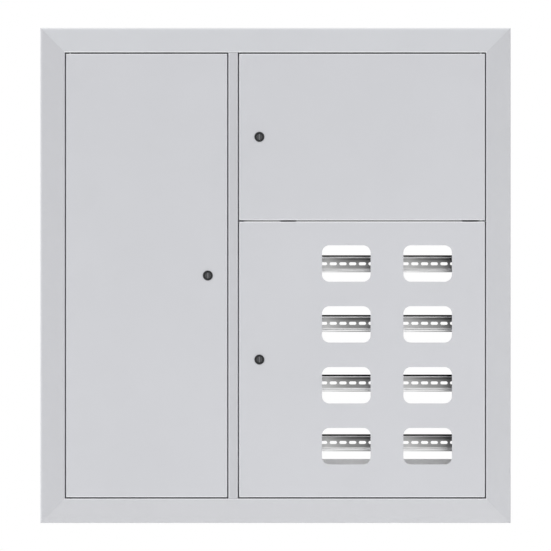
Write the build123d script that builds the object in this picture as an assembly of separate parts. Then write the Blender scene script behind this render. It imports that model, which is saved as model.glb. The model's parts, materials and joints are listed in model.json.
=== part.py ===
from build123d import *
import math
import os

# A flush floor distribution board with a trim frame, three doors, locks and inner mounting metal.
# The origin is the centre of the four wall fixings on the rear face. X is to the right, Y goes into
# the wall, Z is up. All sizes are in millimetres.

# Sheet metal
sheet = 1.2                 # frame, box and door sheet
bend_inside = 0.8           # inside radius of a fold
shelf_sheet = 1.5           # shelf and hinge plate

# Trim frame
frame_width = 950.0
frame_height = 1000.0
frame_depth = 140.0         # front plane to rear face
border = 50.0               # width of each leg of the frame
trim_rise = 4.0             # how far the face slopes back towards its outer edge
trim_return = 12.0          # front plane to the plaster
reveal_depth = 20.0         # front plane to the stop lip
stop_lip = 12.0             # lip that the doors close against
left_opening = 330.0        # width of the opening of the left door
mullion_width = 19.0
lower_opening = 559.0       # height of the opening under the shelf

# Box
box_margin = 15.0           # box wall outside the edge of the opening
box_lip = 27.0              # front flange of the box walls
rear_flange = 15.0
fixing_inset = 40.0         # wall fixing holes from the outside of the box
fixing_radius = 4.5
cutout_bottom = 81.0        # lower border of the back panel
cutout_top = 70.0
cutout_side = 60.0
cutout_centre = 45.0        # border beside the partition
cutout_below_shelf = 29.0
cutout_above_shelf = 40.0
cutout_radius = 12.0
entry_width_left = 180.0    # cable entries in the top and bottom walls
entry_width_right = 360.0
entry_depth = 60.0
entry_behind_front = 78.0   # front plane to the middle of a cable entry
entry_radius = 8.0

# Doors
door_gap = 2.5              # around the doors
blade_gap_above = 1.2       # shelf edge to the upper door
blade_gap_below = 0.5       # shelf edge to the meter door
door_depth = 15.0
door_lip = 12.0             # lip round the back of a door
stiffener_crown = 20.0
stiffener_flange = 10.0
stiffener_depth = 10.0
stiffener_end_gap = 5.0

# Windows of the meter door
window_columns = 2
window_rows = 4
window_width = 98.0
window_height = 73.5
window_radius = 15.0
window_pitch_x = 164.2
window_pitch_z = 122.8
window_edge = 115.5         # hinge edge of the door to the middle of the last column
window_drop = 84.3          # top edge of the door to the middle of the first row

# Hinges
pin_radius = 2.0
pin_fit = 0.05
pin_inset = 8.0             # hinge edge of a door to the pin
pin_depth = 5.0             # front plane to the pin
pin_reach = 10.0            # pin inside a door
pin_head_radius = 2.9
pin_head = 1.5
washer_radius = 4.5
washer_play = 0.1
plate_setback = 1.5         # front plane to the middle hinge plate
plate_width = 8.5
plate_nose = 7.0            # plate past the pin
plate_tab = 19.0
plate_play = 0.2            # plate to the edges of its slot
collar_radius = 3.5
collar_play = 0.2

# Locks
lock_backset_left = 39.0    # free edge of the door to the lock
lock_backset_right = 41.0
lock_head_radius = 10.0
lock_head = 1.5
barrel_radius = 8.0
barrel_fit = 0.1
lock_recess_radius = 7.25
lock_recess = 3.0
core_radius = 6.0
core_fit = 0.05
bar_width = 3.0
bar_height = 11.0
bar_below_head = 0.3
nut_across = 20.0
nut_thickness = 3.0
tail_side = 7.0
tail_fit = 0.05
cam_gap = 1.8               # stop lip to the cam
cam_thickness = 2.5
cam_width = 15.0
cam_reach = 40.0
cam_corner = 2.5
barrel_to_cam = 2.0
cam_screw_radius = 2.0
cam_screw_head_radius = 4.5
cam_screw_head = 2.5
cam_screw_length = 8.0

# Shelf between the upper and the lower compartment
blade_setback = 1.0         # front plane to the shelf edge
blade_left_gap = 1.0        # stop lip of the mullion to the shelf edge
blade_right_gap = 36.0      # stop lip of the frame to the shelf edge
notch_width = 31.3
notch_left = 73.0           # left end of the shelf edge to its notch
notch_depth = 14.0
shelf_flange = 12.0
passage_width = 120.0
passage_depth = 45.0
passage_inset = 22.0        # rear face of the shelf to a passage
passage_side = 85.0         # side walls of the compartment to a passage

# Top-hat rails
rail_height = 35.0
rail_throat = 27.0
rail_depth = 7.5
rail_sheet = 1.0
slot_length = 15.0
slot_width = 6.2
slot_pitch = 20.0
slot_to_hole = 5.0          # free metal between the last slot and the end hole
rail_end = 8.6              # end of a rail to its screw
rail_behind_front = 76.0    # front plane to the front of the rails

# Uprights that carry the rails
upright_columns = 3
upright_pitch = 168.2
upright_inset = 37.4        # right wall of the box to the last upright
upright_width = 34.0
upright_gap = 2.2           # between the ends of neighbouring rails
upright_leg = 25.0
foot_low = 19.0             # height of the lower and upper feet
foot_high = 13.0
foot_tab = 12.0
upright_bottom = 58.8       # bottom wall to the uprights
upright_top = 14.0          # shelf to the uprights
breaker_upright_width = 25.0
breaker_inset_left = 18.9   # partition to the left breaker upright
breaker_inset_right = 30.8  # box wall to the right breaker upright
breaker_upright_low = 7.5
breaker_upright_high = 62.0
breaker_rail_drop = 105.0   # top wall to the upper breaker rail
breaker_rail_pitch = 125.0

# Screws
screw_radius = 2.5
screw_fit = 0.1
screw_across = 8.0          # across the flats of a screw head
screw_head = 3.5
rail_screw_length = 8.0

# Earthing studs welded to the doors
stud_radius = 3.0
stud_length = 11.0
stud_inset = 45.0           # hinge pin and lower edge of a door to its stud

# Neutral bar, earth bar and low-current strips
bar_length = 220.0
terminal_bar_depth = 8.0
terminal_bar_height = 10.0
terminal_count = 7
terminal_pitch = 26.0
terminal_screw_radius = 2.0
terminal_screw_fit = 0.05
terminal_head_radius = 3.0
terminal_head = 1.5
terminal_screw_length = 4.0
insulator_side = 18.0
insulator_height = 36.0
insulator_spread = 160.0
neutral_rise = 21.5         # shelf to the neutral bar
earth_rise = 35.0           # bottom wall to the earth bar
earth_strip = 4.0
earth_foot = 16.0
earth_standoff = 22.0
strip_height = 30.0
strip_thickness = 2.0
strip_level = 200.0
strip_end_gap = 3.8
strip_screw_inset = 14.0
strip_slots = 5
strip_slot_length = 34.0
strip_slot_width = 6.2
strip_slot_pitch = 50.0

# Planes and edges that follow from the sizes
front = -frame_depth
half_width = frame_width / 2
half_height = frame_height / 2
opening_x = half_width - border
opening_z = half_height - border
mullion_left = -opening_x + left_opening
mullion_right = mullion_left + mullion_width
mullion_x = (mullion_left + mullion_right) / 2
wall_plane = front + trim_return
lip_front = front + reveal_depth
lip_back = lip_front + sheet
flange_back = lip_back + sheet
box_x = opening_x + box_margin
box_z = opening_z + box_margin
wall_x = box_x - sheet
wall_z = box_z - sheet
lip_x = opening_x - stop_lip
lip_z = opening_z - stop_lip
panel_front = -sheet
shelf_under = -opening_z + lower_opening
shelf_top = shelf_under + shelf_sheet
partition_right = mullion_x + sheet / 2
partition_left = mullion_x - sheet / 2
rail_front = front + rail_behind_front
rail_back = rail_front + rail_depth
door_front_inside = front + sheet
door_back = front + door_depth
pin_y = front + pin_depth
cam_front = lip_back + cam_gap
cam_back = cam_front + cam_thickness

# Doors as left edge, right edge, bottom and top
door_low = -opening_z + door_gap
door_high = opening_z - door_gap
right_door_x0 = mullion_right + door_gap
right_door_x1 = opening_x - door_gap
left_door_box = (-opening_x + door_gap, mullion_left - door_gap, door_low, door_high)
upper_door_box = (right_door_x0, right_door_x1, shelf_top + blade_gap_above, door_high)
meter_door_box = (right_door_x0, right_door_x1, door_low, shelf_under - blade_gap_below)
pin_x_left = left_door_box[0] + pin_inset
pin_x_right = upper_door_box[1] - pin_inset
left_lock_x = left_door_box[1] - lock_backset_left
right_lock_x = upper_door_box[0] + lock_backset_right

# Windows, rails, uprights and fixings
window_xs = [meter_door_box[1] - window_edge - window_pitch_x * i for i in reversed(range(window_columns))]
window_zs = [meter_door_box[3] - window_drop - window_pitch_z * i for i in range(window_rows)]
window_middle = (window_xs[0] + window_xs[-1]) / 2
upright_xs = [wall_x - upright_inset - upright_pitch * i for i in reversed(range(upright_columns))]
upright_z0 = -wall_z + upright_bottom
upright_z1 = shelf_under - upright_top
rail_length = upright_pitch - upright_gap
rail_xs = [(a + b) / 2 for a, b in zip(upright_xs, upright_xs[1:])]
rail_hole = rail_length / 2 - rail_end
breaker_xs = [partition_right + breaker_inset_left, wall_x - breaker_inset_right]
breaker_x = sum(breaker_xs) / 2
breaker_rail_length = breaker_xs[1] - breaker_xs[0] + 2 * rail_end
breaker_zs = [wall_z - breaker_rail_drop, wall_z - breaker_rail_drop - breaker_rail_pitch]
breaker_z0 = shelf_top + breaker_upright_low
breaker_z1 = wall_z - breaker_upright_high
power_middle = (partition_right + wall_x) / 2
left_middle = (partition_left - wall_x) / 2
neutral_z = shelf_top + neutral_rise
neutral_back = panel_front - insulator_height
neutral_front = neutral_back - terminal_bar_depth
earth_z = -wall_z + earth_rise
earth_front = panel_front - earth_standoff - earth_strip
terminal_first = power_middle - terminal_pitch * (terminal_count - 1) / 2
terminal_xs = [terminal_first + terminal_pitch * i for i in range(terminal_count)]
earth_foot_xs = [power_middle - (bar_length - earth_foot) / 2, power_middle + (bar_length - earth_foot) / 2]
strip_x0 = -wall_x + rear_flange + strip_end_gap
strip_x1 = partition_left - rear_flange - strip_end_gap
strip_screw_xs = [strip_x0 + strip_screw_inset, strip_x1 - strip_screw_inset]
strip_zs = [strip_level, -strip_level]
strip_front = panel_front - strip_thickness
tab_front = panel_front - sheet
fixing_xs = [-box_x + fixing_inset, box_x - fixing_inset]
fixing_zs = [-box_z + fixing_inset, box_z - fixing_inset]


def block(x0, x1, y0, y1, z0, z1):
    """Rectangular solid between two corners."""
    return Pos((x0 + x1) / 2, (y0 + y1) / 2, (z0 + z1) / 2) * Box(x1 - x0, y1 - y0, z1 - z0)


def rod_y(x, z, radius, y0, y1):
    """Round rod along Y."""
    return Pos(x, (y0 + y1) / 2, z) * Rot(90, 0, 0) * Cylinder(radius, y1 - y0)


def rod_z(x, y, radius, z0, z1):
    """Round rod along Z."""
    return Pos(x, y, (z0 + z1) / 2) * Cylinder(radius, z1 - z0)


def slab_y(outline, x, z, y0, y1):
    """Flat shape in the X-Z plane, as thick as y0 to y1."""
    plane = Plane(origin=(x, y1, z), x_dir=(1, 0, 0), z_dir=(0, -1, 0))
    return extrude(plane * outline, y1 - y0)


def window(x, z, width, height, radius, y0, y1):
    """Cutter for a rounded rectangular opening."""
    return slab_y(RectangleRounded(width, height, radius), x, z, y0, y1)


def folded(points, thickness, inside_radius):
    """Section of a folded sheet whose middle line runs through the points."""
    line = [Vector(*point) for point in points]
    runs = [(b - a).normalized() for a, b in zip(line, line[1:])]
    normals = [Vector(-run.Y, run.X) for run in runs]
    left, right, left_radii, right_radii = [], [], [], []
    for i, point in enumerate(line):
        before = normals[max(i - 1, 0)]
        after = normals[min(i, len(normals) - 1)]
        reach = (before + after) * (thickness / 2 / (1 + before.dot(after)))
        turn = before.cross(after).Z
        left.append(point + reach)
        right.append(point - reach)
        at_end = i in (0, len(line) - 1)
        left_radii.append(0 if at_end else inside_radius + (thickness if turn < 0 else 0))
        right_radii.append(0 if at_end else inside_radius + (thickness if turn > 0 else 0))
    outline = left + right[::-1]
    return make_face(FilletPolyline(*outline, radius=left_radii + right_radii[::-1], close=True))


def along_x(section, x0, x1):
    """Extrude a section drawn in Y and Z."""
    return Pos(x0, 0, 0) * extrude(Plane.YZ * section, x1 - x0)


def along_z(section, z0, z1):
    """Extrude a section drawn in X and Y."""
    return Pos(0, 0, z0) * extrude(Plane.XY * section, z1 - z0)


def hex_screw(x, z, seat, length):
    """Hexagon screw whose head sits on the plane y = seat and points to the front."""
    head = slab_y(RegularPolygon(screw_across / 2, 6, major_radius=False), x, z, seat - screw_head, seat)
    return head + rod_y(x, z, screw_radius, seat, seat + length)


def trim_leg(half_run):
    """One leg of the frame along X, its outer edge at z = 0 and its mitres at 45 degrees."""
    face_y = front + sheet / 2
    reveal_z = -border + sheet / 2
    lip_y = lip_front + sheet / 2
    edge_z = -sheet / 2
    points = [
        (wall_plane, edge_z),
        (face_y + trim_rise, edge_z),
        (face_y, reveal_z),
        (lip_y, reveal_z),
        (lip_y, -border - stop_lip),
    ]
    leg = along_x(folded(points, sheet, bend_inside), -half_run, half_run)
    inner = border + stop_lip
    corners = [(-half_run, 0), (half_run, 0), (half_run - inner, -inner), (inner - half_run, -inner)]
    mitre = slab_y(make_face(Polyline(*corners, close=True)), 0, 0, front - 1, flange_back)
    return leg & mitre


def pin_holes():
    """Cutters for the outer hinge pins, through the frame and the doors."""
    radius = pin_radius + pin_fit
    top = [rod_z(x, pin_y, radius, opening_z - door_gap - sheet - 1, opening_z + sheet + 1)
           for x in (pin_x_left, pin_x_right)]
    return top + [mirror(hole, about=Plane.XY) for hole in top]


def trim():
    """The four legs of the frame."""
    holes = pin_holes()
    slot_y0 = front + plate_setback - plate_play
    slot_y1 = front + plate_setback + plate_width + plate_play
    slot_z0 = shelf_under - bend_inside - plate_play
    slot = block(opening_x - 1, opening_x + sheet + 1, slot_y0, slot_y1, slot_z0, shelf_top + plate_play)
    return {
        "trim_top": Pos(0, 0, half_height) * trim_leg(half_width) - holes,
        "trim_bottom": Pos(0, 0, -half_height) * Rot(0, 180, 0) * trim_leg(half_width) - holes,
        "trim_left": Pos(-half_width, 0, 0) * Rot(0, -90, 0) * trim_leg(half_height) - holes,
        "trim_right": Pos(half_width, 0, 0) * Rot(0, 90, 0) * trim_leg(half_height) - holes - slot,
    }


def mullion():
    """Hat section between the left door and the right doors."""
    inner = mullion_width / 2 - sheet / 2
    outer = mullion_width / 2 + stop_lip
    face_y = front + sheet / 2
    lip_y = lip_front + sheet / 2
    left_side = [(-outer, lip_y), (-inner, lip_y), (-inner, face_y)]
    right_side = [(inner, face_y), (inner, lip_y), (outer, lip_y)]
    offsets = left_side + right_side
    section = folded([(mullion_x + x, y) for x, y in offsets], sheet, bend_inside)
    hat = along_z(section, -opening_z, opening_z)
    end_y = lip_front - bend_inside
    end = block(mullion_left - border, mullion_right + border, end_y, flange_back, lip_z, opening_z + 1)
    return hat - end - mirror(end, about=Plane.XY)


def side_wall(side):
    """Side wall of the box with its front and rear flanges."""
    web = wall_x + sheet / 2
    front_y = lip_back + sheet / 2
    rear_y = panel_front - sheet / 2
    front_lip = [(web + sheet / 2 - box_lip, front_y), (web, front_y)]
    points = front_lip + [(web, rear_y), (wall_x - rear_flange, rear_y)]
    return along_z(folded([(side * x, y) for x, y in points], sheet, bend_inside), -wall_z, wall_z)


def entries():
    """Middle and width of each cable entry."""
    return [(left_middle, entry_width_left), (power_middle, entry_width_right)]


def end_wall(side):
    """Top or bottom wall of the box with its front flange and cable entries."""
    web = wall_z + sheet / 2
    front_y = lip_back + sheet / 2
    points = [(front_y, web + sheet / 2 - box_lip), (front_y, web), (panel_front, web)]
    wall = along_x(folded(points, sheet, bend_inside), -box_x, box_x)
    flange_x = box_x - box_lip
    for x0, x1 in ((-box_x - 1, -flange_x), (flange_x, box_x + 1)):
        wall -= block(x0, x1, lip_back - 1, 0, 0, wall_z)
    for x, width in entries():
        mouth = RectangleRounded(width, entry_depth, entry_radius)
        wall -= Pos(x, front + entry_behind_front, wall_z - 1) * extrude(mouth, sheet + 2)
    return wall if side > 0 else mirror(wall, about=Plane.XY)


def cutouts():
    """Left, right, bottom and top edges of the openings in the back panel."""
    right_x0 = partition_right + cutout_centre
    right_x1 = wall_x - cutout_side
    low = -box_z + cutout_bottom
    high = box_z - cutout_top
    return [
        (-wall_x + cutout_side, partition_left - cutout_centre, low, high),
        (right_x0, right_x1, shelf_under + cutout_above_shelf, high),
        (right_x0, right_x1, low, shelf_under - cutout_below_shelf),
    ]


def foot_screws():
    """X and Z of the screws in the feet of the uprights."""
    meter = [(x - upright_width / 2 - foot_tab / 2, z) for x in upright_xs
             for z in (upright_z0 + foot_low / 2, upright_z1 - foot_high / 2)]
    left_x = breaker_xs[0] + breaker_upright_width / 2 + foot_tab / 2
    right_x = breaker_xs[1] - breaker_upright_width / 2 - foot_tab / 2
    breaker_zs = (breaker_z0 + foot_low / 2, breaker_z1 - foot_low / 2)
    breaker = [(x, z) for x in (left_x, right_x) for z in breaker_zs]
    return meter + breaker


def back_panel():
    """Back panel with its cut-outs, wall fixing holes and screw holes."""
    panel = block(-box_x, box_x, panel_front, 0, -box_z, box_z)
    for x0, x1, z0, z1 in cutouts():
        panel -= window((x0 + x1) / 2, (z0 + z1) / 2, x1 - x0, z1 - z0, cutout_radius, panel_front - 1, 1)
    panel -= [rod_y(x, z, fixing_radius, panel_front - 1, 1) for x in fixing_xs for z in fixing_zs]
    places = foot_screws() + [(x, z) for x in strip_screw_xs for z in strip_zs]
    places += [(x, earth_z) for x in earth_foot_xs]
    return panel - [rod_y(x, z, screw_radius + screw_fit, panel_front - 1, 1) for x, z in places]


def vertical_partition():
    """Wall between the low-current and the power compartments, from the mullion to a rear flange."""
    rear_y = panel_front - sheet / 2
    rear_x = partition_left - rear_flange
    points = [(mullion_x, front + sheet), (mullion_x, rear_y), (rear_x, rear_y)]
    wall = along_z(folded(points, sheet, bend_inside), -wall_z, wall_z)
    end_y = flange_back + bend_inside
    end = block(partition_left - 1, partition_right + 1, front, end_y, lip_z, wall_z + 1)
    return wall - end - mirror(end, about=Plane.XY)


def shelf():
    """Shelf between the compartments, with its edge in the gap between the right doors."""
    level = shelf_under + shelf_sheet / 2
    left = partition_right + shelf_sheet / 2
    right = wall_x - shelf_sheet / 2
    low = shelf_under - shelf_flange
    section = folded([(left, low), (left, level), (right, level), (right, low)], shelf_sheet, bend_inside)
    plate_y = flange_back + bend_inside
    plate = Pos(0, panel_front, 0) * extrude(Plane.XZ * section, panel_front - plate_y)
    rear_x0 = partition_right + 2 * shelf_sheet
    rear_x1 = wall_x - rear_flange - bend_inside
    plate -= block(rear_x1, box_x, tab_front - bend_inside, 0, low - 1, shelf_top + 1)
    plate += block(rear_x0, rear_x1, panel_front - shelf_sheet, panel_front, low, shelf_top)
    blade_y = front + blade_setback
    blade_x0 = mullion_right + stop_lip + blade_left_gap
    blade_x1 = lip_x - blade_right_gap
    plate += block(blade_x0, blade_x1, blade_y, plate_y, shelf_under, shelf_top)
    notch_x = blade_x0 + notch_left
    notch_back = blade_y + notch_depth
    plate -= block(notch_x, notch_x + notch_width, blade_y - 1, notch_back, shelf_under - 1, shelf_top + 1)
    passage_y = panel_front - passage_inset - passage_depth / 2
    for x in (partition_right + passage_side, wall_x - passage_side):
        mouth = RectangleRounded(passage_width, passage_depth, entry_radius)
        plate -= Pos(x, passage_y, shelf_under - 1) * extrude(mouth, shelf_sheet + 2)
    return plate


def door_tray(x0, x1, z0, z1):
    """Folded door with a lip round its open back."""
    tray = block(x0, x1, front, door_back, z0, z1)
    tray = fillet(tray.faces().sort_by(Axis.Y)[0].edges(), bend_inside + sheet)
    hollow = block(x0 + sheet, x1 - sheet, door_front_inside, door_back - sheet, z0 + sheet, z1 - sheet)
    hollow = fillet(hollow.faces().sort_by(Axis.Y)[0].edges(), bend_inside)
    mouth_front = door_back - sheet - 1
    mouth = block(x0 + door_lip, x1 - door_lip, mouth_front, door_back + 1, z0 + door_lip, z1 - door_lip)
    return tray - hollow - mouth


def door(box, pin_x, lock_x):
    """Door with its pin holes, lock hole and earthing stud."""
    x0, x1, z0, z1 = box
    radius = pin_radius + pin_fit
    holes = [rod_z(pin_x, pin_y, radius, z - sheet - 1, z + sheet + 1) for z in (z0, z1)]
    holes.append(rod_y(lock_x, (z0 + z1) / 2, barrel_radius + barrel_fit, front - 1, door_front_inside + 1))
    stud_x = pin_x + math.copysign(stud_inset, lock_x - pin_x)
    stud = rod_y(stud_x, z0 + stud_inset, stud_radius, door_front_inside, door_front_inside + stud_length)
    return door_tray(x0, x1, z0, z1) - holes + stud


def windows():
    """Cutters for the windows of the meter door."""
    return [window(x, z, window_width, window_height, window_radius, front - 1, door_front_inside + 1)
            for x in window_xs for z in window_zs]


def stiffener(x, z0, z1):
    """Hat channel on the inside of a door."""
    low = door_front_inside + sheet / 2
    high = door_front_inside + stiffener_depth - sheet / 2
    half = stiffener_crown / 2 - sheet / 2
    outer = stiffener_crown / 2 + stiffener_flange
    offsets = [(-outer, low), (-half, low), (-half, high), (half, high), (half, low), (outer, low)]
    section = folded([(x + dx, y) for dx, y in offsets], sheet, bend_inside)
    return along_z(section, z0 + sheet + stiffener_end_gap, z1 - sheet - stiffener_end_gap)


def hinge_pins():
    """Outer pins at the top and bottom of the frame, with their heads behind it."""
    shank_end = opening_z - door_gap - pin_reach
    seat = opening_z + sheet
    pins = []
    for x in (pin_x_left, pin_x_right):
        head = rod_z(x, pin_y, pin_head_radius, seat, seat + pin_head)
        pin = rod_z(x, pin_y, pin_radius, shank_end, seat) + head
        pins += [pin, mirror(pin, about=Plane.XY)]
    return Compound(children=pins)


def hinge_washers():
    """Washers that the left door and the meter door turn on."""
    z0 = -opening_z
    z1 = z0 + door_gap - washer_play
    bore = pin_radius + pin_fit
    rings = [rod_z(x, pin_y, washer_radius, z0, z1) - rod_z(x, pin_y, bore, z0 - 1, z1 + 1)
             for x in (pin_x_left, pin_x_right)]
    return Compound(children=rings)


def middle_hinge_plate():
    """Angle plate between the right doors, through the slot of the frame."""
    level = shelf_under + shelf_sheet / 2
    leg_x = opening_x + sheet + shelf_sheet / 2
    points = [(pin_x_right - plate_nose, level), (leg_x, level), (leg_x, shelf_under - plate_tab)]
    section = Plane.XZ * folded(points, shelf_sheet, bend_inside)
    plate_y = front + plate_setback
    plate = Pos(0, plate_y + plate_width, 0) * extrude(section, plate_width)
    corner_y = front + sheet + bend_inside + plate_play
    tab_low = shelf_under - plate_tab
    plate -= block(opening_x + sheet, leg_x + shelf_sheet, plate_y - 1, corner_y, tab_low - 1, shelf_under)
    return plate - rod_z(pin_x_right, pin_y, pin_radius + pin_fit, shelf_under - 1, shelf_top + 1)


def middle_hinge_pin():
    """Pin with a collar, up into the upper door and down into the meter door."""
    low = shelf_under - blade_gap_below - pin_reach
    high = shelf_top + blade_gap_above + pin_reach
    collar = rod_z(pin_x_right, pin_y, collar_radius, shelf_top, shelf_top + blade_gap_above - collar_play)
    return rod_z(pin_x_right, pin_y, pin_radius, low, high) + collar


def lock_housing(x, z):
    """Round head and barrel of a lock."""
    head_front = front - lock_head
    end = cam_front - barrel_to_cam
    body = rod_y(x, z, lock_head_radius, head_front, front) + rod_y(x, z, barrel_radius, front, end)
    body -= rod_y(x, z, lock_recess_radius, head_front - 1, head_front + lock_recess)
    return body - rod_y(x, z, core_radius + core_fit, head_front, end + 1)


def lock_nut(x, z):
    """Hexagon nut behind the door sheet."""
    hexagon = RegularPolygon(nut_across / 2, 6, major_radius=False)
    nut = slab_y(hexagon, x, z, door_front_inside, door_front_inside + nut_thickness)
    nut_back = door_front_inside + nut_thickness
    bore = rod_y(x, z, barrel_radius + tail_fit, door_front_inside - 1, nut_back + 1)
    return nut - bore


def lock_insert(x, z):
    """Turning core with the key bar in front and a square tail behind."""
    floor = front - lock_head + lock_recess
    tip = front - lock_head + bar_below_head
    core = rod_y(x, z, core_radius, floor, cam_front)
    dx = bar_width / 2
    dz = bar_height / 2
    key_bar = block(x - dx, x + dx, tip, floor, z - dz, z + dz)
    half = tail_side / 2
    tail_end = cam_back - bar_below_head
    tail = block(x - half, x + half, cam_front, tail_end, z - half, z + half)
    bore = rod_y(x, z, cam_screw_radius + tail_fit, cam_back - cam_screw_length - 1, tail_end + 1)
    return core + key_bar + tail - bore


def lock_cam(x, z):
    """Flat cam that hangs down when the lock is open."""
    half = cam_width / 2
    blade = block(x - half, x + half, cam_front, cam_back, z - cam_reach, z)
    blade = fillet(blade.faces().sort_by(Axis.Z)[0].edges().filter_by(Axis.Y), cam_corner)
    blade += rod_y(x, z, half, cam_front, cam_back)
    side = tail_side / 2 + tail_fit
    return blade - block(x - side, x + side, cam_front - 1, cam_back + 1, z - side, z + side)


def lock_screw(x, z):
    """Screw that holds the cam on the tail, its head to the rear."""
    head = rod_y(x, z, cam_screw_head_radius, cam_back, cam_back + cam_screw_head)
    return head + rod_y(x, z, cam_screw_radius, cam_back - cam_screw_length, cam_back)


def door_set(name, box, pin_x, lock_x, stiffener_x, cuts):
    """Every piece of one door, by node name."""
    lock_z = (box[2] + box[3]) / 2
    return {
        f"{name}_door": door(box, pin_x, lock_x) - cuts,
        f"{name}_door_stiffener": stiffener(stiffener_x, box[2], box[3]),
        f"{name}_lock_housing": lock_housing(lock_x, lock_z),
        f"{name}_lock_nut": lock_nut(lock_x, lock_z),
        f"{name}_lock_insert": lock_insert(lock_x, lock_z),
        f"{name}_lock_cam": lock_cam(lock_x, lock_z),
        f"{name}_lock_screw": lock_screw(lock_x, lock_z),
    }


def top_hat_rail(x, z, length, slotted):
    """Top-hat rail with end holes, and with slots between them where it is slotted."""
    lip_y = rail_front + rail_sheet / 2
    web_y = rail_back - rail_sheet / 2
    edge = rail_height / 2
    throat = rail_throat / 2 - rail_sheet / 2
    upper = [(lip_y, edge), (lip_y, throat), (web_y, throat)]
    lower = [(web_y, -throat), (lip_y, -throat), (lip_y, -edge)]
    section = folded([(y, z + dz) for y, dz in upper + lower], rail_sheet, bend_inside)
    rail = along_x(section, x - length / 2, x + length / 2)
    hole = length / 2 - rail_end
    cuts = [rod_y(x + dx, z, screw_radius + screw_fit, rail_front, rail_back + 1) for dx in (-hole, hole)]
    reach = hole - slot_to_hole - slot_length / 2
    count = 2 * math.floor(reach / slot_pitch + 0.5) if slotted else 0
    for i in range(count):
        dx = slot_pitch * (i - (count - 1) / 2)
        cuts.append(slab_y(SlotOverall(slot_length, slot_width), x + dx, z, rail_front, rail_back + 1))
    return rail - cuts


def upright(x, width, z0, z1, tab_side, rail_screws, open_middle):
    """Channel that carries rails, its legs to the back panel and screwed tabs at its ends."""
    half = width / 2 - sheet / 2
    web_y = rail_back + sheet / 2
    points = [(-half, panel_front), (-half, web_y), (half, web_y), (half, panel_front)]
    channel = along_z(folded([(x + dx, y) for dx, y in points], sheet, bend_inside), z0, z1)
    high = foot_high if open_middle else foot_low
    if open_middle:
        channel -= block(x - width, x + width, rail_back + upright_leg, 0, z0 + foot_low, z1 - high)
    tab_x = x + tab_side * (width / 2 + foot_tab / 2)
    near = x + tab_side * (width / 2 - sheet)
    far = x + tab_side * (width / 2 + foot_tab)
    x0, x1 = min(near, far), max(near, far)
    radius = screw_radius + screw_fit
    for low, top in ((z0, z0 + foot_low), (z1 - high, z1)):
        channel += block(x0, x1, tab_front, panel_front, low, top)
        channel -= rod_y(tab_x, (low + top) / 2, radius, tab_front - 1, panel_front + 1)
    return channel - [rod_y(sx, sz, radius, rail_back - 1, rail_back + sheet + 1) for sx, sz in rail_screws]


def meter_rail_screws():
    """X and Z of the screws of the meter rails."""
    return [(x + dx, z) for x in rail_xs for dx in (-rail_hole, rail_hole) for z in window_zs]


def breaker_rail_screws():
    """X and Z of the screws of the breaker rails."""
    return [(x, z) for x in breaker_xs for z in breaker_zs]


def mounting_screws():
    """Identical hexagon screws of the rails, uprights, strips and earth bar."""
    seat = rail_back - rail_sheet
    solids = [hex_screw(x, z, seat, rail_screw_length) for x, z in meter_rail_screws() + breaker_rail_screws()]
    solids += [hex_screw(x, z, tab_front, -tab_front) for x, z in foot_screws()]
    solids += [hex_screw(x, z, strip_front, -strip_front) for x in strip_screw_xs for z in strip_zs]
    earth_seat = panel_front - earth_strip
    solids += [hex_screw(x, earth_z, earth_seat, -earth_seat) for x in earth_foot_xs]
    return Compound(children=solids)


def terminal_holes(z, seat):
    """Cutters for the terminal screws of a bar."""
    radius = terminal_screw_radius + terminal_screw_fit
    floor = seat + terminal_screw_length + 1
    return [rod_y(x, z, radius, seat - 1, floor) for x in terminal_xs]


def neutral_bar():
    """Brass bar on the insulators."""
    x0 = power_middle - bar_length / 2
    low = neutral_z - terminal_bar_height / 2
    high = neutral_z + terminal_bar_height / 2
    bar = block(x0, x0 + bar_length, neutral_front, neutral_back, low, high)
    return bar - terminal_holes(neutral_z, neutral_front)


def neutral_bar_insulators():
    """Two posts between the neutral bar and the back panel."""
    half = insulator_side / 2
    posts = []
    for side in (-1, 1):
        x = power_middle + side * insulator_spread / 2
        foot = neutral_back + (panel_front - neutral_back) / 2
        post = block(x - half, x + half, foot, panel_front, neutral_z - half, neutral_z + half)
        posts.append(post + rod_y(x, neutral_z, half - sheet, neutral_back, foot))
    return Compound(children=posts)


def earth_bar():
    """Brass strip folded to stand off the back panel."""
    half = bar_length / 2 - earth_foot
    foot_y = panel_front - earth_strip / 2
    bar_y = earth_front + earth_strip / 2
    outer = bar_length / 2
    left_side = [(-outer, foot_y), (-half, foot_y), (-half, bar_y)]
    right_side = [(half, bar_y), (half, foot_y), (outer, foot_y)]
    section = folded([(power_middle + dx, y) for dx, y in left_side + right_side], earth_strip, bend_inside)
    bar = along_z(section, earth_z - terminal_bar_height / 2, earth_z + terminal_bar_height / 2)
    foot_front = panel_front - earth_strip
    holes = [rod_y(x, earth_z, screw_radius + screw_fit, foot_front - 1, 0) for x in earth_foot_xs]
    return bar - holes - terminal_holes(earth_z, earth_front)


def terminal_screws():
    """Identical clamping screws of both bars."""
    screws = []
    for z, seat in ((neutral_z, neutral_front), (earth_z, earth_front)):
        for x in terminal_xs:
            head = rod_y(x, z, terminal_head_radius, seat - terminal_head, seat)
            screws.append(head + rod_y(x, z, terminal_screw_radius, seat, seat + terminal_screw_length))
    return Compound(children=screws)


def signal_strip(z):
    """Slotted mounting strip across the low-current compartment."""
    strip = block(strip_x0, strip_x1, strip_front, panel_front, z - strip_height / 2, z + strip_height / 2)
    middle = (strip_x0 + strip_x1) / 2
    slot = SlotOverall(strip_slot_length, strip_slot_width)
    for i in range(strip_slots):
        x = middle + strip_slot_pitch * (i - (strip_slots - 1) / 2)
        strip -= slab_y(slot, x, z, strip_front - 1, panel_front + 1)
    return strip - [rod_y(x, z, screw_radius + screw_fit, strip_front - 1, 0) for x in strip_screw_xs]


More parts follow.
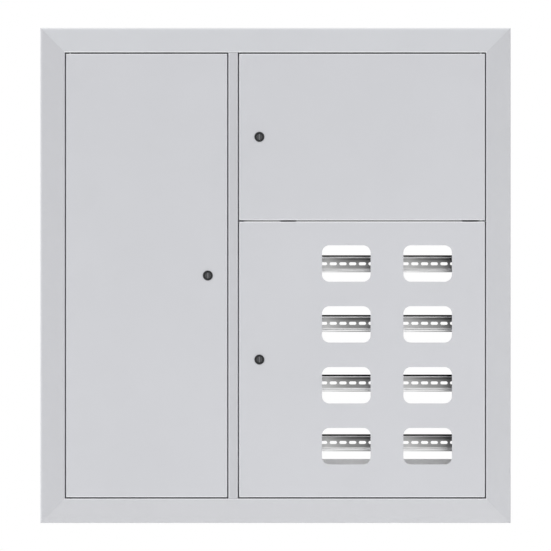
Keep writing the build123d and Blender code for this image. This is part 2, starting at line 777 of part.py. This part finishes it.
def uprights():
    """The three meter uprights and the two breaker uprights."""
    nodes = {}
    for name, x in zip(("left", "centre", "right"), upright_xs):
        screws = [place for place in meter_rail_screws() if abs(place[0] - x) < upright_width / 2]
        nodes[f"rail_upright_{name}"] = upright(x, upright_width, upright_z0, upright_z1, -1, screws, True)
    for name, x, tab_side in (("left", breaker_xs[0], 1), ("right", breaker_xs[1], -1)):
        screws = [(x, z) for z in breaker_zs]
        piece = upright(x, breaker_upright_width, breaker_z0, breaker_z1, tab_side, screws, False)
        nodes[f"breaker_upright_{name}"] = piece
    return nodes


def rails():
    """Eight meter rails and two breaker rails."""
    nodes = {}
    for column, x in zip(("left", "right"), rail_xs):
        for row, z in enumerate(window_zs, start=1):
            nodes[f"meter_rail_{column}_{row}"] = top_hat_rail(x, z, rail_length, True)
    for name, z in zip(("upper", "lower"), breaker_zs):
        nodes[f"breaker_rail_{name}"] = top_hat_rail(breaker_x, z, breaker_rail_length, False)
    return nodes


def build():
    """All pieces by node name."""
    left_x = (left_door_box[0] + left_door_box[1]) / 2
    right_x = (upper_door_box[0] + upper_door_box[1]) / 2
    nodes = dict(trim())
    nodes["mullion"] = mullion()
    nodes["side_wall_left"] = side_wall(-1)
    nodes["side_wall_right"] = side_wall(1)
    nodes["top_wall"] = end_wall(1)
    nodes["bottom_wall"] = end_wall(-1)
    nodes["back_panel"] = back_panel()
    nodes["vertical_partition"] = vertical_partition()
    nodes["shelf"] = shelf()
    nodes["hinge_pins"] = hinge_pins()
    nodes["hinge_washers"] = hinge_washers()
    nodes["middle_hinge_plate"] = middle_hinge_plate()
    nodes["middle_hinge_pin"] = middle_hinge_pin()
    nodes.update(uprights())
    nodes.update(rails())
    nodes["mounting_screws"] = mounting_screws()
    nodes["neutral_bar"] = neutral_bar()
    nodes["neutral_bar_insulators"] = neutral_bar_insulators()
    nodes["earth_bar"] = earth_bar()
    nodes["terminal_screws"] = terminal_screws()
    nodes["signal_strip_upper"] = signal_strip(strip_zs[0])
    nodes["signal_strip_lower"] = signal_strip(strip_zs[1])
    nodes.update(door_set("left", left_door_box, pin_x_left, left_lock_x, left_x, []))
    nodes.update(door_set("upper", upper_door_box, pin_x_right, right_lock_x, right_x, []))
    nodes.update(door_set("meter", meter_door_box, pin_x_right, right_lock_x, window_middle, windows()))
    return nodes


def main():
    """Write one file for each piece."""
    os.makedirs("parts", exist_ok=True)
    for name, shape in build().items():
        export_step(shape, f"parts/{name}.step")


main()
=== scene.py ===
import json
import math

import bpy
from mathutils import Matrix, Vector

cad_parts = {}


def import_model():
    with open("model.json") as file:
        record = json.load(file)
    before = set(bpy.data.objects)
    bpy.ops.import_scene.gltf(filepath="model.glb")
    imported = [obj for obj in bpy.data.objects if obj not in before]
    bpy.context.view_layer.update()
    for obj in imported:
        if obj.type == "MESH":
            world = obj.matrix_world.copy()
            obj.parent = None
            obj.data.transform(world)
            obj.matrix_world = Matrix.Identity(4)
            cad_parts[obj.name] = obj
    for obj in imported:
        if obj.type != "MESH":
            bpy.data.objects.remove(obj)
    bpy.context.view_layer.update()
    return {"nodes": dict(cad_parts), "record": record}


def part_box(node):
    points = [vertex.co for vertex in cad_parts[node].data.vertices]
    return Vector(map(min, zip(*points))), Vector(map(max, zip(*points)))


# Looks of the floor distribution board: powder coat on folded sheet, zinc on the rails and
# fittings, dark die-cast locks. Lengths are in metres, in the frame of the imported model.

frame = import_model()
nodes = frame["nodes"]

# View: head on, with the middle of the board in the middle of the picture
picture_pixels = 551
metres_per_pixel = 0.0020172    # on the front plane of the board
camera_distance = 3.75          # from the front plane
sensor_mm = 36.0
clip_near, clip_far = 0.1, 60.0

# Studio: light of the world on the object, and lamps with their place and strength
ambient = 0.588
studio_white = (1.0, 1.0, 1.0, 1.0)
key_place, key_level, key_softness = (-1.5, -4.2, 2.0), 0.98, 25.0      # softness in degrees
rear_place, rear_level, rear_softness = (1.6, 4.0, 2.4), 2.4, 35.0
fill_place, fill_power, fill_size = (0.8, -3.2, -1.1), 9.2, 2.0         # watts and metres
floor_level = -1.3
floor_reach = 4.5
floor_grey = (0.9, 0.9, 0.9)
floor_roughness = 0.8

# Linear colours
door_grey = (0.600, 0.606, 0.634)
# Painted light and shade: lighter and darker copies of the door grey on the legs of the trim and
# on the mullion, for how the light falls on each
leg_shade_greys = {
    "trim_top": (0.614, 0.624, 0.651),
    "trim_bottom": (0.589, 0.594, 0.617),
    "trim_left": (0.558, 0.563, 0.588),
    "trim_right": (0.566, 0.572, 0.596),
    "mullion": (0.545, 0.550, 0.575),
}
# Box paint on the shelf and partition, lighter than the doors: painted light for the inside of the
# box
box_lit_grey = (0.66, 0.66, 0.67)
zinc_grey = (0.50, 0.51, 0.52)
galvanised_grey = (0.52, 0.52, 0.525)
rail_zinc = (0.45, 0.45, 0.45)
lock_rim = (0.018, 0.019, 0.021)
lock_core = (0.075, 0.076, 0.080)
brass_yellow = (0.68, 0.50, 0.20)
insulator_blue = (0.03, 0.10, 0.30)
nylon_black = (0.04, 0.04, 0.045)

# Painted highlight on the powder coat over a fold: its gain, and how much of it shows on folds
# that turn up, down, to the left and to the right
fold_highlight_gain = 1.6
usual_fold_highlights = (1.0, 0.9, 0.45, 0.5)
leg_fold_highlights = {
    "trim_top": (0.7, 1.0, 0.2, 0.0),
    "trim_bottom": (1.0, 0.0, 0.2, 0.0),
    "trim_left": (0.5, 0.5, 0.6, 0.15),
    "trim_right": (0.5, 0.5, 0.5, 0.0),
    "mullion": (0.5, 0.5, 0.75, 0.5),
}
# Where a fold begins, is full, ends and is gone, between facing backwards (0) and forwards (1)
# along an axis: first the folds that turn backwards along it, then the others
fold_turns = ((0.10, 0.15, 0.38, 0.43), (0.57, 0.62, 0.85, 0.90))

# Painted highlight on the outer edge of a leg, where it catches the light: axis, where it starts
# and where it is full
leg_rims = {"trim_top": ("Z", 0.4945, 0.4965), "trim_left": ("X", -0.4700, -0.4720)}
rim_highlight_gain = 1.09

# Painted shade in narrow gaps between coated pieces: how far they are looked for, the openness at
# which a face is fully dark and fully light, and the dark
gap_reach = 0.008
gap_samples = 4
gap_openness = (0.25, 0.85)
gap_dark = 0.35

# Painted light: a brighter band on the front of the back panel, along the foot of its openings:
# where it begins, is full, ends and is gone, in shares of the panel's height
sill_light_band = (0.052, 0.062, 0.088, 0.091)
sill_light_white = (1.0, 1.0, 1.0, 1.0)
sill_light_facing = (-0.9, -0.5)      # Y of the faces that count as the front, fully and not at all

# Painted highlight on an upright bar of a lock insert, in shares of its width
bar_highlight_span = (0.41, 0.45, 0.55, 0.59)
bar_highlight_gain = 2.3

# Painted light and shade across a rail, from its lower edge (0) to its upper edge (1), at its left
# and at its right end: bright lips, a shaded web and a dark shadow line at the top
rail_left_light_and_shade = [
    (0.00, 0.62), (0.01, 0.84), (0.065, 0.88), (0.075, 1.00), (0.19, 1.00), (0.20, 0.62),
    (0.25, 0.58), (0.30, 0.55), (0.42, 0.53), (0.60, 0.45), (0.70, 0.40), (0.79, 0.37),
    (0.83, 0.38), (0.84, 1.00), (0.896, 1.00), (0.904, 0.005), (1.00, 0.005),
]
rail_right_light_and_shade = [
    (0.00, 0.28), (0.05, 0.45), (0.065, 0.80), (0.075, 1.00), (0.19, 1.00), (0.20, 0.32),
    (0.25, 0.29), (0.30, 0.25), (0.42, 0.28), (0.60, 0.21), (0.70, 0.14), (0.76, 0.08),
    (0.83, 0.07), (0.84, 1.00), (0.896, 1.00), (0.904, 0.0), (1.00, 0.0),
]
# How far the painted shade has gone from the left to the right tones, along a rail from its left
# end
rail_shade_fade = [
    (0.00, 0.00), (0.24, 0.00), (0.28, 0.19), (0.33, 0.40), (0.38, 0.58), (0.43, 0.72),
    (0.48, 0.82), (0.53, 0.92), (0.62, 0.97), (1.00, 0.97),
]
# Painted light: the rails in the right column get lighter right tones
right_column_light_gain = 1.18        # on the right tones of the rails in the right column

bevel_samples = 6


def plain(name, colour, roughness, metallic=0.0):
    """New material with one shader. Gives the material, its node tree and the shader."""
    made = bpy.data.materials.new(name)
    made.use_nodes = True
    tree = made.node_tree
    shader = tree.nodes["Principled BSDF"]
    shader.inputs["Base Color"].default_value = (*colour, 1.0)
    shader.inputs["Roughness"].default_value = roughness
    shader.inputs["Metallic"].default_value = metallic
    return made, tree, shader


def feed(tree, value, socket):
    """Links a socket to another one, or sets it to a constant."""
    if isinstance(value, bpy.types.NodeSocket):
        tree.links.new(value, socket)
    else:
        socket.default_value = value


def scaled(colour, gain):
    """Colour made darker or lighter, at most white."""
    return tuple(min(1.0, gain * c) for c in colour)


def axes(tree, kind):
    """X, Y and Z of the place on a piece (Object or Generated) or of its Normal."""
    source = tree.nodes.new("ShaderNodeTexCoord")
    parts = tree.nodes.new("ShaderNodeSeparateXYZ")
    tree.links.new(source.outputs[kind], parts.inputs["Vector"])
    return parts.outputs


def object_point(tree, stretch=(1.0, 1.0, 1.0)):
    """Place on the surface in metres, stretched along each axis."""
    source = tree.nodes.new("ShaderNodeTexCoord")
    mapping = tree.nodes.new("ShaderNodeMapping")
    mapping.inputs["Scale"].default_value = stretch
    tree.links.new(source.outputs["Object"], mapping.inputs["Vector"])
    return mapping.outputs["Vector"]


def computed(tree, operation, *values):
    """Result of a math operation on one or two values."""
    made = tree.nodes.new("ShaderNodeMath")
    made.operation = operation
    for slot, value in enumerate(values):
        tree.links.new(value, made.inputs[slot])
    return made.outputs["Value"]


def noise(tree, point, scale, detail=2.0, rough=0.5):
    """Noise value between about 0 and 1, with this many waves in a metre."""
    made = tree.nodes.new("ShaderNodeTexNoise")
    made.inputs["Scale"].default_value = scale
    made.inputs["Detail"].default_value = detail
    made.inputs["Roughness"].default_value = rough
    tree.links.new(point, made.inputs["Vector"])
    return made.outputs["Fac"]


def spread(tree, value, low=0.0, high=1.0, from_low=0.3, from_high=0.7):
    """Value mapped from one range, the usual one of noise if none is given, onto another."""
    made = tree.nodes.new("ShaderNodeMapRange")
    made.inputs["From Min"].default_value = from_low
    made.inputs["From Max"].default_value = from_high
    made.inputs["To Min"].default_value = low
    made.inputs["To Max"].default_value = high
    tree.links.new(value, made.inputs["Value"])
    return made.outputs["Result"]


def mixed(tree, factor, first, second, blend="MIX"):
    """Colour between two colours, or the first one multiplied by the second."""
    made = tree.nodes.new("ShaderNodeMix")
    made.data_type = "RGBA"
    made.blend_type = blend
    feed(tree, factor, made.inputs["Factor"])
    feed(tree, first, made.inputs["A"])
    feed(tree, second, made.inputs["B"])
    return made.outputs["Result"]


def tinted(tree, value, colour, dark, light):
    """Colour that goes from a darker to a lighter gain with the value."""
    return mixed(tree, value, (*scaled(colour, dark), 1.0), (*scaled(colour, light), 1.0))


def gained(tree, factor, tone, gain):
    """Tone made lighter by a gain where the factor is 1."""
    return mixed(tree, factor, tone, (gain, gain, gain, 1.0), "MULTIPLY")


def tone_ramp(tree, value, tones):
    """Grey tones along a value."""
    made = tree.nodes.new("ShaderNodeValToRGB")
    stops = made.color_ramp.elements
    for stop, (position, tone) in zip(stops, (tones[0], tones[-1])):
        stop.position = position
        stop.color = (tone, tone, tone, 1.0)
    for position, tone in tones[1:-1]:
        stops.new(position).color = (tone, tone, tone, 1.0)
    tree.links.new(value, made.inputs["Fac"])
    return made.outputs["Color"]


def plateau(edges, level=1.0):
    """Stops that rise to a level and fall to 0 again at four places."""
    start, full, last, end = edges
    return [(start, 0.0), (full, level), (last, level), (end, 0.0)]


def within(tree, value, *plateaus):
    """Tone that is 0 along a value apart from these plateaus."""
    stops = [stop for stops in plateaus for stop in stops]
    return tone_ramp(tree, value, [(0.0, 0.0), *stops, (1.0, 0.0)])


def bumped(tree, height, shader, depth, edge):
    """Bump of this depth, on edges that look rounded by this radius."""
    rounded = tree.nodes.new("ShaderNodeBevel")
    rounded.samples = bevel_samples
    rounded.inputs["Radius"].default_value = edge
    bump = tree.nodes.new("ShaderNodeBump")
    bump.inputs["Strength"].default_value = 1.0
    bump.inputs["Distance"].default_value = depth
    tree.links.new(height, bump.inputs["Height"])
    tree.links.new(rounded.outputs["Normal"], bump.inputs["Normal"])
    tree.links.new(bump.outputs["Normal"], shader.inputs["Normal"])


def fold_light(tree, above, below, left, right):
    """How much painted highlight lightens the coat over the folds that turn each way, 0 on all
    flat faces.
    """
    normal = axes(tree, "Normal")
    tones = []
    for axis, backwards, forwards in (("Z", below, above), ("X", left, right)):
        facing = spread(tree, normal[axis], from_low=-1.0, from_high=1.0)
        turns = [plateau(*turn) for turn in zip(fold_turns, (backwards, forwards))]
        tones.append(within(tree, facing, *turns))
    return computed(tree, "ADD", *tones)


def gap_shade(tree):
    """Painted shade: 1 on open faces, less on the faces that look up or down inside a narrow gap.
    """
    near = tree.nodes.new("ShaderNodeAmbientOcclusion")
    near.samples = gap_samples
    near.inputs["Distance"].default_value = gap_reach
    dark_at, light_at = gap_openness
    closed = spread(tree, near.outputs["AO"], 1.0, 0.0, from_low=dark_at, from_high=light_at)
    slope = computed(tree, "ABSOLUTE", axes(tree, "Normal")["Z"])
    both = computed(tree, "MULTIPLY", closed, slope)
    return spread(tree, both, 1.0, gap_dark, from_low=0.0, from_high=1.0)


def rim_light(tree, tone, rim):
    """Tone made lighter beyond a place along one axis: a painted highlight."""
    axis, start, full = rim
    beyond = spread(tree, axes(tree, "Object")[axis], from_low=start, from_high=full)
    return gained(tree, beyond, tone, rim_highlight_gain)


def sill_light(tree, tone):
    """Tone that turns bright on the front, inside the band of heights: painted light."""
    band = within(tree, axes(tree, "Generated")["Z"], plateau(sill_light_band))
    fully, not_at_all = sill_light_facing
    front = spread(tree, axes(tree, "Normal")["Y"], 1.0, 0.0, from_low=fully, from_high=not_at_all)
    return mixed(tree, computed(tree, "MULTIPLY", band, front), tone, sill_light_white)


def highlighted_bar(tree, tone):
    """Tone made brighter on an upright bar through the middle of a piece: a painted highlight."""
    bar = within(tree, axes(tree, "Generated")["X"], plateau(bar_highlight_span))
    return gained(tree, bar, tone, bar_highlight_gain)


def powder_coat(name, colour, fold_highlights=usual_fold_highlights, rim=None):
    """Satin powder coat: fine grain and a slight orange peel, with a painted highlight over the
    folds, painted shade in narrow gaps and a painted highlight on its rim when it has one.
    """
    made, tree, shader = plain(name, colour, roughness=0.45)
    point = object_point(tree)
    cloud = spread(tree, noise(tree, point, scale=5.0, detail=3.0))
    tone = tinted(tree, cloud, colour, dark=0.988, light=1.012)
    # Painted highlight on the outer rim
    if rim:
        tone = rim_light(tree, tone, rim)
    # Painted highlight over the folds
    tone = mixed(tree, fold_light(tree, *fold_highlights), tone, (*scaled(colour, fold_highlight_gain), 1.0))
    # Painted shade in narrow gaps
    tone = mixed(tree, 1.0, tone, gap_shade(tree), "MULTIPLY")
    tree.links.new(tone, shader.inputs["Base Color"])
    peel = noise(tree, point, scale=420.0, detail=4.0, rough=0.6)
    tree.links.new(spread(tree, peel, low=0.40, high=0.52), shader.inputs["Roughness"])
    bumped(tree, peel, shader, depth=0.00006, edge=0.0006)
    return made


def zinc_plate(name, colour):
    """Bright zinc plate with faint cloudy tone."""
    made, tree, shader = plain(name, colour, roughness=0.33, metallic=1.0)
    point = object_point(tree)
    cloud = noise(tree, point, scale=180.0, detail=3.0)
    tone = tinted(tree, spread(tree, cloud), colour, dark=0.82, light=1.10)
    tree.links.new(tone, shader.inputs["Base Color"])
    tree.links.new(spread(tree, cloud, low=0.27, high=0.41), shader.inputs["Roughness"])
    grain = noise(tree, point, scale=2600.0)
    bumped(tree, grain, shader, depth=0.00002, edge=0.0003)
    return made


def galvanised(name, colour, band=False):
    """Galvanised sheet with a fine spangle, and painted light on a band of its front when it has
    one.
    """
    made, tree, shader = plain(name, colour, roughness=0.45, metallic=0.6)
    point = object_point(tree)
    cells = tree.nodes.new("ShaderNodeTexVoronoi")
    cells.inputs["Scale"].default_value = 220.0
    tree.links.new(point, cells.inputs["Vector"])
    grey = tree.nodes.new("ShaderNodeRGBToBW")
    tree.links.new(cells.outputs["Color"], grey.inputs["Color"])
    spangle = grey.outputs["Val"]
    tone = tinted(tree, spangle, colour, dark=0.88, light=1.10)
    # Painted light on a band of the front
    if band:
        tone = sill_light(tree, tone)
    tree.links.new(tone, shader.inputs["Base Color"])
    rough = spread(tree, spangle, low=0.38, high=0.52, from_low=0.0, from_high=1.0)
    tree.links.new(rough, shader.inputs["Roughness"])
    grain = noise(tree, point, scale=900.0, detail=3.0)
    bumped(tree, grain, shader, depth=0.00002, edge=0.0004)
    return made


def rolled_rail(name, right_light_gain=1.0):
    """Zinc-plated rolled rail: painted light and shade in bands across it, and painted shade
    growing towards its right end.
    """
    made, tree, shader = plain(name, rail_zinc, roughness=0.30, metallic=1.0)
    place = axes(tree, "Generated")
    # Bands of painted light and shade across the rail, fading along it into the darker right tones
    # as painted shade
    right_tones = [(position, min(1.0, right_light_gain * tone)) for position, tone in rail_right_light_and_shade]
    at_left = tone_ramp(tree, place["Z"], rail_left_light_and_shade)
    at_right = tone_ramp(tree, place["Z"], right_tones)
    along = mixed(tree, tone_ramp(tree, place["X"], rail_shade_fade), at_left, at_right)
    point = object_point(tree, stretch=(1.0, 1.0, 40.0))
    streak = noise(tree, point, scale=30.0, detail=4.0)
    tone = mixed(tree, 1.0, along, spread(tree, streak, low=0.90, high=1.08), "MULTIPLY")
    tree.links.new(tone, shader.inputs["Base Color"])
    bumped(tree, streak, shader, depth=0.00001, edge=0.0003)
    return made


def die_cast(name, colour, roughness=0.4, bar=False):
    """Dark lacquered die casting with a fine grain, and a painted highlight on a bar when it has
    one.
    """
    made, tree, shader = plain(name, colour, roughness, metallic=0.3)
    grain = noise(tree, object_point(tree), scale=1500.0, detail=3.0)
    tone = tinted(tree, spread(tree, grain), colour, dark=0.75, light=1.30)
    # Painted highlight on the bar
    if bar:
        tone = highlighted_bar(tree, tone)
    tree.links.new(tone, shader.inputs["Base Color"])
    bumped(tree, grain, shader, depth=0.00003, edge=0.0003)
    return made


def drawn_brass(name, colour):
    """Drawn brass bar, with drawing lines along it."""
    made, tree, shader = plain(name, colour, roughness=0.32, metallic=1.0)
    point = object_point(tree, stretch=(1.0, 60.0, 60.0))
    lines = noise(tree, point, scale=22.0, detail=4.0)
    tone = tinted(tree, spread(tree, lines), colour, dark=0.80, light=1.15)
    tree.links.new(tone, shader.inputs["Base Color"])
    tree.links.new(spread(tree, lines, low=0.26, high=0.42), shader.inputs["Roughness"])
    bumped(tree, lines, shader, depth=0.00002, edge=0.0004)
    return made


def moulded(name, colour, roughness):
    """Moulded plastic with an eroded mould surface."""
    made, tree, shader = plain(name, colour, roughness)
    point = object_point(tree)
    grain = noise(tree, point, scale=1800.0)
    rough = spread(tree, grain, low=roughness - 0.08, high=roughness + 0.08)
    tree.links.new(rough, shader.inputs["Roughness"])
    cloud = spread(tree, noise(tree, point, scale=60.0))
    tone = tinted(tree, cloud, colour, dark=0.9, light=1.1)
    tree.links.new(tone, shader.inputs["Base Color"])
    bumped(tree, grain, shader, depth=0.00003, edge=0.0004)
    return made


def camera():
    """Camera of the photograph."""
    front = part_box("trim_top")[0].y
    data = bpy.data.cameras.new("camera")
    data.sensor_width = sensor_mm
    data.lens = sensor_mm * camera_distance / (picture_pixels * metres_per_pixel)
    data.clip_start = clip_near
    data.clip_end = clip_far
    made = bpy.data.objects.new("camera", data)
    made.location = (0.0, front - camera_distance, 0.0)
    made.rotation_euler = (math.radians(90), 0.0, 0.0)
    bpy.context.scene.collection.objects.link(made)
    bpy.context.scene.camera = made


def seen_white(tree, lit, white, target):
    """Shows the white shader to the rays that see the background, straight, in a gloss or
    through glass, and the lit one to all others."""
    rays = tree.nodes.new("ShaderNodeLightPath")
    straight_or_gloss = computed(
        tree, "MAXIMUM", rays.outputs["Is Camera Ray"], rays.outputs["Is Glossy Ray"])
    seeing = computed(tree, "MAXIMUM", straight_or_gloss, rays.outputs["Is Transmission Ray"])
    mix = tree.nodes.new("ShaderNodeMixShader")
    tree.links.new(seeing, mix.inputs["Fac"])
    tree.links.new(lit, mix.inputs[1])
    tree.links.new(white, mix.inputs[2])
    tree.links.new(mix.outputs["Shader"], target.inputs["Surface"])


def world():
    """Pale studio all round, seen as plain white."""
    made = bpy.data.worlds.new("studio")
    bpy.context.scene.world = made
    made.use_nodes = True
    tree = made.node_tree
    light = tree.nodes["Background"]
    white = tree.nodes.new("ShaderNodeBackground")
    for shader, strength in ((light, ambient), (white, 1.0)):
        shader.inputs["Color"].default_value = studio_white
        shader.inputs["Strength"].default_value = strength
    target = tree.nodes["World Output"]
    seen_white(tree, light.outputs["Background"], white.outputs["Background"], target)


def floor():
    """Pale floor well below the board, seen as plain white."""
    mesh = bpy.data.meshes.new("floor")
    r = floor_reach
    mesh.from_pydata([(-r, -r, 0), (r, -r, 0), (r, r, 0), (-r, r, 0)], [], [(0, 1, 2, 3)])
    made = bpy.data.objects.new("floor", mesh)
    made.location.z = floor_level
    bpy.context.scene.collection.objects.link(made)
    paint, tree, shader = plain("floor_white", floor_grey, floor_roughness)
    white = tree.nodes.new("ShaderNodeEmission")
    white.inputs["Color"].default_value = studio_white
    white.inputs["Strength"].default_value = 1.0
    target = tree.nodes["Material Output"]
    seen_white(tree, shader.outputs["BSDF"], white.outputs["Emission"], target)
    mesh.materials.append(paint)


def aimed(name, data, place):
    """Adds a lamp at a place, aimed at the middle of the board."""
    made = bpy.data.objects.new(name, data)
    made.location = place
    made.rotation_euler = (-Vector(place)).to_track_quat("-Z", "Y").to_euler()
    bpy.context.scene.collection.objects.link(made)
    made.visible_glossy = False


def far_lamp(name, place, level, softness):
    """Even light from one side."""
    data = bpy.data.lights.new(name, "SUN")
    data.energy = level
    data.angle = math.radians(softness)
    aimed(name, data, place)


def near_lamp(name, place, power, size):
    """Large soft lamp."""
    data = bpy.data.lights.new(name, "AREA")
    data.energy = power
    data.size = size
    aimed(name, data, place)


def paint_nodes():
    """Gives each CAD node its material."""
    by_slot = {
        "door_paint": powder_coat("door_paint", door_grey),
        "box_paint": powder_coat("box_paint", box_lit_grey),
        "galvanised": galvanised("galvanised", galvanised_grey),
        "rail_zinc": rolled_rail("rail_zinc"),
        "zinc_steel": zinc_plate("zinc_steel", zinc_grey),
        "lock_black": die_cast("lock_black", lock_rim),
        "lock_zinc": die_cast("lock_zinc", lock_core, roughness=0.35, bar=True),
        "brass": drawn_brass("brass", brass_yellow),
        "insulator": moulded("insulator", insulator_blue, roughness=0.4),
        "nylon": moulded("nylon", nylon_black, roughness=0.5),
    }
    # Back panel with painted light on a band along the foot of its openings
    own = {"back_panel": galvanised("galvanised_panel", galvanised_grey, band=True)}
    # Each leg of the trim and the mullion gets its own lighter or darker copy of the coat, as
    # painted light and shade
    for leg, grey in leg_shade_greys.items():
        own[leg] = powder_coat(f"paint_{leg}", grey, leg_fold_highlights[leg], leg_rims.get(leg))
    # Rails of the right column, with painted light on their right tones
    right_rail = rolled_rail("rail_zinc_right", right_column_light_gain)
    for row in frame["record"]["subparts"]:
        finish = own.get(row["node"]) or by_slot[row["material_slot"]]
        if "rail_right_" in row["node"]:
            finish = right_rail
        slots = nodes[row["node"]].data.materials
        slots.clear()
        slots.append(finish)


camera()
world()
far_lamp("key", key_place, key_level, key_softness)
far_lamp("rear", rear_place, rear_level, rear_softness)
near_lamp("fill", fill_place, fill_power, fill_size)
floor()
paint_nodes()

bpy.context.scene.view_settings.view_transform = "Standard"
